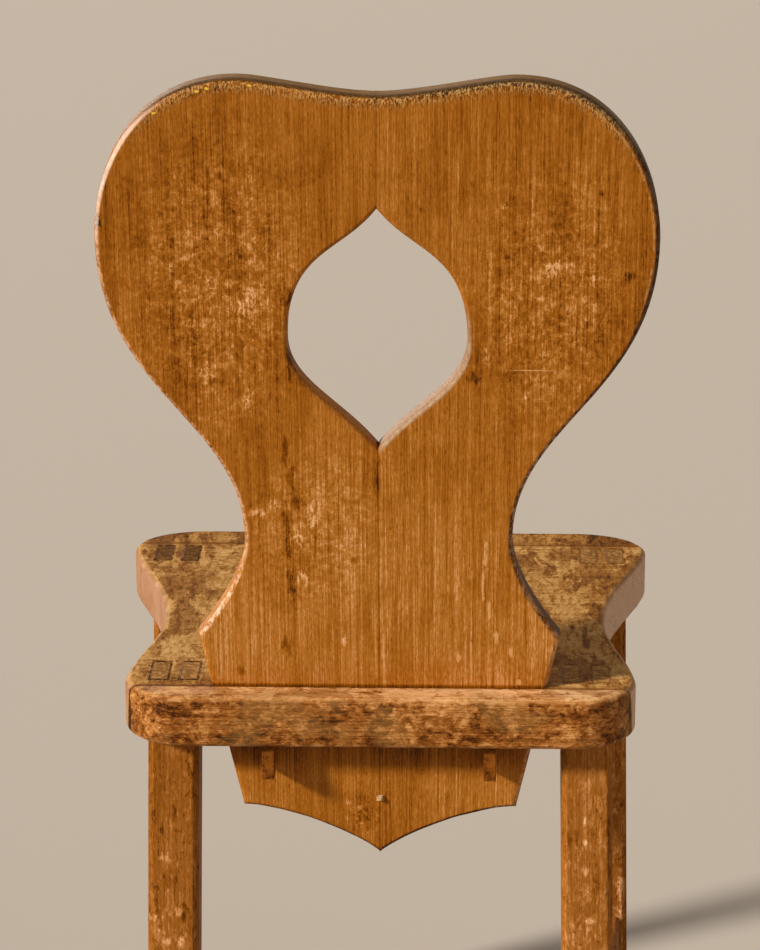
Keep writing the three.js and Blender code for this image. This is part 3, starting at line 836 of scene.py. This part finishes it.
def make_leg_finish():
    wood = start_wood("leg_wood", 0.43, 0.4, 0.6, 0.08)
    position = add_node(wood.material.node_tree, "ShaderNodeTexCoord")["Object"]
    height = split(position, 2)
    low = spread(height, 0.40, 0.20)
    behind = spread(split(wood.facing, 1), 0.4, 0.8, 0.25, 1.0)
    # Painted shade: faces that turn to -X, away from the light, are darker.
    tone(wood, -0.11, spread(split(wood.facing, 0), -0.4, -0.8))
    wear(wood, LEG_WEAR)
    knocks, _ = wear(wood, LOW_LEG_WEAR, low, behind)
    torn = times(wood.torn, 0.7)
    for x, up, half_x, half_up in LEG_KNOCKS:
        knock = mark(position, (x, REAR_FACE, up), (half_x, 14, half_up), 0.6, torn)
        knocks = largest(knocks, tone(wood, 0.34, knock))
    color_wood(wood, (58, 28, 0), (104, 54, 4), (134, 77, 18), (150, 92, 34),
               (176, 116, 60), (206, 148, 96), (232, 186, 136))
    lay(wood, (220, 164, 110), 0.5, worn_edge(wood, 0.2)["Rubbed"])
    tenon_ends = color_tenon_ends(wood, height)
    rubbed = largest(knocks, times(tenon_ends, 2.2))
    return finish_wood(wood, 0.52, rubbed, 0.3, 0.05)


leg_finish = make_leg_finish()


# %% Key finish
def make_key_finish():
    # The low base tone is painted shade: the keys sit in the seat's shadow.
    wood = start_wood("key_wood", 0.29, 0.4, 0.6, 0.08)
    soil = tone(wood, -0.16, patches(wood, 80, 0.6, 0.48, 0.12, 3))
    color_wood(wood, (54, 26, 4), (104, 54, 10), (134, 76, 18), (154, 92, 32),
               (178, 114, 54), (208, 148, 94))
    lay(wood, (160, 100, 48), 0.2, worn_edge(wood, 0.3)["Rubbed"])
    return finish_wood(wood, 0.55, soil, 0.35, 0.06)


key_finish = make_key_finish()

# %% [markdown]
# ## Shaping helpers
#
# Every piece is worked the same way after its shape is cut: the sharp edges are rounded over, the
# points in the middle of each rounding are marked as "edge", and a little wood is taken off there
# by noise, so that no edge is as straight as a machine leaves it. A Bevel modifier could round the
# edges too, but it wouldn't tell the finish which points lie on them.

# %% Edge rounding and wear
SAME_PLACE = 1e-6
ON_PLANE = 1e-7
CORNER = math.radians(25)
CUT_STEP = 0.008
WEAR_SIZE = 0.02


def everything(bm):
    return list(bm.verts) + list(bm.edges) + list(bm.faces)


def merge_points(bm):
    bmesh.ops.remove_doubles(bm, verts=bm.verts, dist=SAME_PLACE)


def edge_layer(bm):
    layers = bm.verts.layers.float
    return layers.get("edge") or layers.new("edge")


def round_over(bm, edges, radius, segments):
    """Rounds the edges and marks the points in the middle of each rounding."""
    marked = edge_layer(bm)
    made = bmesh.ops.bevel(
        bm, geom=edges, offset=radius, offset_type="OFFSET", segments=segments, profile=0.5,
        affect="EDGES", material=-1, clamp_overlap=False)
    fresh = set(made["faces"])
    for vert in made["verts"]:
        if all(face in fresh for face in vert.link_faces):
            vert[marked] = 1.0


def wear_down(bm, depth, size, seed):
    """Takes a little wood off the marked points, by noise, inwards along their normals."""
    marked = edge_layer(bm)
    bm.normal_update()
    for vert in bm.verts:
        if vert[marked] > 0:
            dip = noise.fractal(vert.co / size + Vector((seed, seed, seed)), 0.6, 2.0, 3)
            vert.co -= vert.normal * depth * (0.5 + 0.5 * dip) * vert[marked]


def cut_across(bm, along, step=CUT_STEP):
    """Cuts across a piece every few millimetres, without taking anything away."""
    along = Vector(along)
    reaches = [vert.co @ along for vert in bm.verts]
    low = min(reaches)
    high = max(reaches)
    count = int((high - low) / step)
    for index in range(1, count):
        middle = along * (low + (high - low) * index / count)
        bmesh.ops.bisect_plane(
            bm, geom=everything(bm), plane_co=middle, plane_no=along, dist=ON_PLANE)


# %% [markdown]
# ## Cuts between pieces
#
# A tenon, key or dowel needs a seat in the board that holds it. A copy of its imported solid, grown
# by a small gap on every side, cuts that seat with a Boolean modifier, so the seat always fits.

# %% Cuts between pieces
def object_from(bm, name):
    """Turns a bmesh into an object in the scene, and frees it."""
    mesh = bpy.data.meshes.new(name)
    bm.to_mesh(mesh)
    bm.free()
    made = bpy.data.objects.new(name, mesh)
    bpy.context.scene.collection.objects.link(made)
    return made


def packed_copy(node):
    """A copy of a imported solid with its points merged."""
    bm = bmesh.new()
    bm.from_mesh(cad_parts[node].data)
    merge_points(bm)
    return bm


def cutter_from(node, gap):
    """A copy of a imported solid, grown by a gap on every side."""
    bm = packed_copy(node)
    bm.normal_update()
    moves = [(vert, vert.normal * gap * vert.calc_shell_factor()) for vert in bm.verts]
    for vert, move in moves:
        vert.co += move
    return object_from(bm, "cutter_" + node)


def cut_seats(bm, nodes, gap=0.3 * MM):
    """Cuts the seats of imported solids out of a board, and gives the cut board."""
    board = object_from(bm, "board_to_cut")
    cutters = [cutter_from(node, gap) for node in nodes]
    for cutter in cutters:
        modifier = board.modifiers.new(cutter.name, "BOOLEAN")
        modifier.operation = "DIFFERENCE"
        modifier.solver = "EXACT"
        modifier.object = cutter
    evaluated = board.evaluated_get(bpy.context.evaluated_depsgraph_get())
    cut = bmesh.new()
    cut.from_mesh(evaluated.to_mesh())
    evaluated.to_mesh_clear()
    for spare in [board] + cutters:
        bpy.data.objects.remove(spare)
    merge_points(cut)
    return cut


# %% [markdown]
# ## Numbers that the finishes read
#
# Each point stores its place in its own board, how far it is from the board's outline, and the
# way it faces. They are kept on the mesh, so the pattern stays on the wood when the piece is moved.

# %% Numbers on a mesh
FAR_FROM_RIM = 0.05


def outline_tree(places):
    """A tree that finds the nearest point of an outline quickly."""
    tree = kdtree.KDTree(len(places))
    for index, place in enumerate(places):
        tree.insert(place, index)
    tree.balance()
    return tree


def rim_distance(outline, place):
    """How far a place in a board is from the board's outline, if it has one."""
    return outline.find(Vector((place.x, 0, place.z)))[2] if outline else FAR_FROM_RIM


def store_numbers(bm, grain_frame, board, outline):
    layers = bm.verts.layers
    edge = edge_layer(bm)
    grain, facing = [layers.float_vector.new(name) for name in ("grain", "facing")]
    number, rim = [layers.float.new(name) for name in ("board", "rim")]
    into_grain = grain_frame.inverted()
    for vert in bm.verts:
        vert[grain] = into_grain @ vert.co
        vert[facing] = vert.normal
        vert[number] = board
        vert[rim] = rim_distance(outline, vert[grain])
        vert[edge] = min(1.0, max(0.0, vert[edge]))


# %% Finished object
SMOOTH_TURN = math.radians(38)


def finish_piece(bm, name, grain_frame, board, material, node, outline=None):
    """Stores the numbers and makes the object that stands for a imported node."""
    bmesh.ops.recalc_face_normals(bm, faces=bm.faces)
    bm.normal_update()
    store_numbers(bm, grain_frame, board, outline)
    for edge in bm.edges:
        edge.smooth = len(edge.link_faces) == 2 and edge.calc_face_angle() < SMOOTH_TURN
    for face in bm.faces:
        face.smooth = True
    open_edges = sum(len(edge.link_faces) != 2 for edge in bm.edges)
    piece = object_from(bm, name)
    piece.data.materials.append(material)
    weighted = piece.modifiers.new("flat faces stay flat", "WEIGHTED_NORMAL")
    weighted.keep_sharp = True
    weighted.weight = 90
    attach(piece, "root")
    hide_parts(node)
    print(name, "faces:", len(piece.data.polygons), "open edges:", open_edges)
    return piece


# %% [markdown]
# ## Back
#
# The two boards of the back are one pattern and its mirror. A cabinetmaker saws the outline from a
# paper pattern made of a few sweeping curves, so the outline here is a few Bezier curves too, laid
# out on one half. The half outline is filled, pulled up to the board's thickness, and its rims are
# rounded over. The straight edges at the seam stay sharp, because they are glued.

# %% Outline of the back
BACK_TILT = math.radians(7.5)
BACK_THICKNESS = 18 * MM
BACK_RADIUS = 3.5 * MM
SEAM_GAP = 0.03 * MM

# Each curve: start, first handle, second handle, end. Across from the seam, up from the seat.
BACK_CURVES = [
    ((0, 452), (28.5, 452), (77.9, 464), (95, 464)),
    ((95, 464), (164, 464), (195, 401.4), (195, 348)),
    ((195, 348), (195, 231.7), (96, 211.2), (96, 120)),
    ((96, 120), (96, 90.4), (120.5, 56), (131.4, 42)),
    ((101, -101), (73, -101), (20, -122.8), (0, -141)),
]
OPENING_CURVES = [
    ((0, 190.5), (25.8, 224.3), (63, 238.9), (63, 272.5)),
    ((63, 272.5), (63, 340.2), (25.2, 337.1), (0, 371)),
]


def along_curves(curves, steps):
    """Points along a chain of Bezier curves, in metres, without repeated ends."""
    points = []
    for curve in curves:
        corners = [Vector(corner).to_3d() * MM for corner in curve]
        for point in interpolate_bezier(*corners, steps):
            if not points or (point - points[-1]).length > SAME_PLACE:
                points.append(point)
    return points


def back_half_outline():
    """One half's closed outline: down the outside, and back up the seam and the opening."""
    outline = along_curves(BACK_CURVES, 40) + along_curves(OPENING_CURVES, 30)
    for point in outline:
        point.x = max(point.x, SEAM_GAP)
    return outline


back_outline = back_half_outline()
print("points in the back's half outline:", len(back_outline))

# %% Boards of the back
back_place = (
    Matrix.Translation((0, rear_joint, seat_top))
    @ Matrix.Rotation(math.pi / 2 - BACK_TILT, 4, "X"))
# Grain runs up the board: its Z is the board's own Y, and its Y is the board's depth.
back_grain = back_place @ Matrix.Rotation(-math.pi / 2, 4, "X")
BACK_FITTINGS = ["back_dowel_top", "back_dowel_middle", "back_dowel_lower", "back_dowel_tongue",
                 "tongue_nail"]


def filled_outline(outline, thickness):
    """A closed slab from an outline in the XY plane, from z = 0 up to the thickness."""
    bm = bmesh.new()
    face = bm.faces.new([bm.verts.new(point) for point in outline])
    pulled = bmesh.ops.extrude_face_region(bm, geom=[face])
    raised = [item for item in pulled["geom"] if isinstance(item, bmesh.types.BMVert)]
    bmesh.ops.translate(bm, verts=raised, vec=(0, 0, thickness))
    bmesh.ops.recalc_face_normals(bm, faces=bm.faces)
    return bm


def is_level(edge):
    return abs(edge.verts[0].co.z - edge.verts[1].co.z) < SAME_PLACE


def is_glued(edge):
    """True for an edge at the back's seam."""
    return all(vert.co.x <= SEAM_GAP + SAME_PLACE for vert in edge.verts)


def make_back_board(name, side, seed):
    bm = filled_outline(back_outline, BACK_THICKNESS)
    rims = [edge for edge in bm.edges if is_level(edge) and not is_glued(edge)]
    round_over(bm, rims, BACK_RADIUS, 4)
    cut_across(bm, (1, 0, 0))
    cut_across(bm, (0, 1, 0))
    if side < 0:
        bmesh.ops.scale(bm, verts=bm.verts, vec=(-1, 1, 1))
        bmesh.ops.reverse_faces(bm, faces=bm.faces)
    wear_down(bm, 0.5 * MM, WEAR_SIZE, seed)
    bm.transform(back_place)
    key = "left_key" if side > 0 else "right_key"
    bm = cut_seats(bm, [key] + BACK_FITTINGS, 0.05 * MM)
    rims = along_curves(BACK_CURVES, 300) + along_curves(OPENING_CURVES, 200)
    outline = outline_tree([Vector((point.x * side, 0, point.y)) for point in rims])
    return finish_piece(
        bm, name + "_worn", back_grain, seed, back_finish, name, outline)


make_back_board("back_board_left", 1, 0.0)
make_back_board("back_board_right", -1, 1.0)

# %% [markdown]
# ## Seat
#
# The seat is one outline in three boards. It is drawn once, as curves round its left half and
# their mirror, pulled up to a slab and rounded over like the back. A cut with a plane then gives
# each board: bisect_plane throws away the far side, and the open cut is filled.

# %% Outline of the seat
seat_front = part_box("seat_front_board")[0].y
seat_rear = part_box("seat_rear_board")[1].y
SEAT_RADIUS = 4.5 * MM
print("seat from front to rear:", round((seat_rear - seat_front) / MM, 1), "mm")


def seat_half_curves():
    """Curves round half of the seat, from its front edge to its rear edge, in millimetres."""
    front = seat_front / MM
    rear = seat_rear / MM
    waist = rear - 169
    return [
        ((151, front), (183, front), (209, front + 19.3), (209, front + 43)),
        ((209, front + 43), (209, front + 83.5), (170, waist - 73.9), (170, waist)),
        ((170, waist), (170, waist + 36.9), (188.2, rear - 80.4), (188.2, rear - 46)),
        ((188.2, rear - 46), (188.2, rear - 20.6), (167.6, rear), (142.2, rear)),
    ]


def seat_slab():
    """The whole seat as one slab with rounded rims, in its place."""
    half = along_curves(seat_half_curves(), 34)
    mirrored = [Vector((-point.x, point.y, 0)) for point in reversed(half)]
    bm = filled_outline(half + mirrored, seat_top - seat_under)
    round_over(bm, [edge for edge in bm.edges if is_level(edge)], SEAT_RADIUS, 4)
    bmesh.ops.translate(bm, verts=bm.verts, vec=(0, 0, seat_under))
    return bm


def keep_side(bm, point, normal):
    """Keeps the part of a slab behind a plane and fills the open cut."""
    cut = bmesh.ops.bisect_plane(
        bm, geom=everything(bm), plane_co=point, plane_no=normal, clear_outer=True,
        dist=ON_PLANE)
    rim = [item for item in cut["geom_cut"] if isinstance(item, bmesh.types.BMEdge)]
    bmesh.ops.contextual_create(bm, geom=rim)


# %% Boards of the seat
JOINT_GAP = 0.3 * MM
SEAT_STEP = 0.009
SEAT_WEAR_SIZE = 0.018
joint_lean = Vector((0, math.cos(BACK_TILT), -math.sin(BACK_TILT)))
seat_grain = Matrix.Translation((0, 0, seat_top)) @ Matrix.Rotation(math.pi / 2, 4, "Y")
FRONT_DOWELS = ["seat_dowel_front_" + end for end in ("left", "middle", "right")]
REAR_DOWELS = ["seat_dowel_rear_left", "seat_dowel_rear_right"]


def make_seat_board(name, cuts, seed, seats, material):
    """One board of the seat: cut from the slab, worn down, and cut for its joints."""
    bm = seat_slab()
    for point, normal in cuts:
        keep_side(bm, point, normal)
    cut_across(bm, (1, 0, 0), SEAT_STEP)
    cut_across(bm, (0, 1, 0), SEAT_STEP)
    wear_down(bm, 0.8 * MM, SEAT_WEAR_SIZE, seed)
    bm = cut_seats(bm, seats)
    return finish_piece(bm, name + "_worn", seat_grain, seed, material, name)


before_joint = (0, front_joint, 0)
after_joint = (0, front_joint + JOINT_GAP, 0)
ahead_of_back = Vector((0, rear_joint, seat_top))
behind_joint = ahead_of_back + joint_lean * JOINT_GAP
make_seat_board(
    "seat_front_board", [(before_joint, (0, 1, 0))], 2.0, FRONT_DOWELS, seat_finish)
make_seat_board(
    "seat_rear_board", [(behind_joint, -joint_lean)], 3.0, REAR_DOWELS, rear_board_finish)
make_seat_board(
    "seat_middle_board", [(after_joint, (0, -1, 0)), (ahead_of_back, joint_lean)], 4.0,
    LEGS + FRONT_DOWELS + REAR_DOWELS + ["back_board_left", "back_board_right"], seat_finish)

# %% [markdown]
# ## Legs, stretchers and keys
#
# These pieces are straight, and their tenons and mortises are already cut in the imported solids.
# They could be built again from bars and cuts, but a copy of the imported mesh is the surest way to
# keep every joint true. Its loose triangles are joined into flat faces again, its edges are
# rounded over, and cuts across it every few millimetres give the wear something to move.

# %% Worked copies
AXES = ((1, 0, 0), (0, 1, 0), (0, 0, 1))


def lean_frame(node, axis):
    """A grain frame in the middle of a bar, with Z along it."""
    low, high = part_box(node)
    ends = [[], []]
    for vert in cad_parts[node].data.vertices:
        share = (vert.co[axis] - low[axis]) / (high[axis] - low[axis])
        if share < 0.1 or share > 0.9:
            ends[int(share > 0.5)].append(vert.co.copy())
    middles = [sum(points, Vector()) / len(points) for points in ends]
    along = (middles[1] - middles[0]).normalized()
    turned = along.to_track_quat("Z", "Y").to_matrix().to_4x4()
    return Matrix.Translation((middles[0] + middles[1]) / 2) @ turned


def make_bar(node, axis, radius, seed, material, depth):
    """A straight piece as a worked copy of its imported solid."""
    bm = packed_copy(node)
    bmesh.ops.dissolve_limit(
        bm, angle_limit=math.radians(0.5), verts=bm.verts, edges=bm.edges, delimit=set())
    corners = [edge for edge in bm.edges
               if len(edge.link_faces) == 2 and edge.calc_face_angle() > CORNER]
    rounded = [edge for edge in corners if min(vert.co.z for vert in edge.verts) < flush]
    round_over(bm, rounded, radius, 2)
    cut_across(bm, AXES[axis])
    wear_down(bm, depth, WEAR_SIZE, seed)
    return finish_piece(bm, node + "_worn", lean_frame(node, axis), seed, material, node)


for number, leg in enumerate(LEGS):
    make_bar(leg, 2, 0.9 * MM, FIRST_LEG + number, leg_finish, 0.5 * MM)
for number, stretcher in enumerate(["left_stretcher", "right_stretcher"]):
    make_bar(stretcher, 1, 0.8 * MM, 9.0 + number, leg_finish, 0.4 * MM)
make_bar("cross_stretcher", 0, 0.8 * MM, 11.0, leg_finish, 0.4 * MM)
for number, key in enumerate(["left_key", "right_key"]):
    make_bar(key, 1, 0.6 * MM, 12.0 + number, key_finish, 0.2 * MM)

# %% [markdown]
# ## Nail and dowels
#
# A cut nail stands in the seam of the tongue, with a hammered head that has four slopes. The
# dowels are inside the boards and show only when the chair is taken apart. Both keep their packed
# shapes, so they get only a finish: rusty iron, and plain turned wood.

# %% Nail and dowel finishes
def start_plain(name):
    """A material, its shader, and a pattern's place in the piece's own space."""
    material, shader = new_material(name)
    return material, shader, add_node(material.node_tree, "ShaderNodeTexCoord")["Object"]


def make_nail_finish():
    material, shader, place = start_plain("old_iron")
    rust = spread(noise_at(place, 700, 4, 0.6), 0.45, 0.65)
    color = mix_colors(rust, srgb(232, 190, 138), srgb(128, 78, 34))
    rough = spread(rust, 0.0, 1.0, 0.35, 0.75)
    metal = spread(rust, 0.0, 1.0, 0.45, 0.1)
    fill_shader(shader, color, rough, 0.4, 0.0003, rust, Metallic=metal)
    return material


def make_dowel_finish():
    material, shader, place = start_plain("dowel_wood")
    grain = place_group(grain_group, {"Place": place, "Board": 20.0})
    color = mix_colors(plus(grain["Tone"], 0.5), srgb(168, 124, 78), srgb(222, 188, 138))
    rough = spread(grain["Fine"], 0.0, 1.0, 0.6, 0.8)
    fill_shader(shader, color, rough, 0.3, 0.0004, grain["Height"])
    return material


nail_finish = make_nail_finish()
dowel_finish = make_dowel_finish()
for node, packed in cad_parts.items():
    if "dowel" in node or node == "tongue_nail":
        packed.data.materials.clear()
        packed.data.materials.append(dowel_finish if "dowel" in node else nail_finish)
        print("stays as it was packed:", node)

# %% [markdown]
# ## Floor and surroundings
#
# A wide pale floor, warm and plain, stands in for the studio. The world is a soft even light.
# Rays past the edge of the floor see nearly the floor's colour, so the horizon doesn't show.

# %% Floor and world
FLOOR_COLOR = srgb(191, 178, 163)
HORIZON_COLOR = srgb(196, 181, 164)
WORLD_LIGHT = (0.225, 0.215, 0.20, 1)
floor_bm = bmesh.new()
bmesh.ops.create_grid(floor_bm, x_segments=1, y_segments=1, size=60)
floor = object_from(floor_bm, "floor")
floor_material, floor_shader = new_material("floor")
fill_sockets(floor_shader, {"Base Color": FLOOR_COLOR, "Roughness": 0.9})
floor.data.materials.append(floor_material)

world = bpy.data.worlds.new("room")
bpy.context.scene.world = world
world.use_nodes = True
rays = add_node(world.node_tree, "ShaderNodeLightPath")
seen = largest(rays["Is Camera Ray"], rays["Is Glossy Ray"], rays["Is Transmission Ray"])
room_color = mix_colors(seen, WORLD_LIGHT, HORIZON_COLOR)
fill_sockets(world.node_tree.nodes["Background"], {"Color": room_color})
print("world:", world.name)
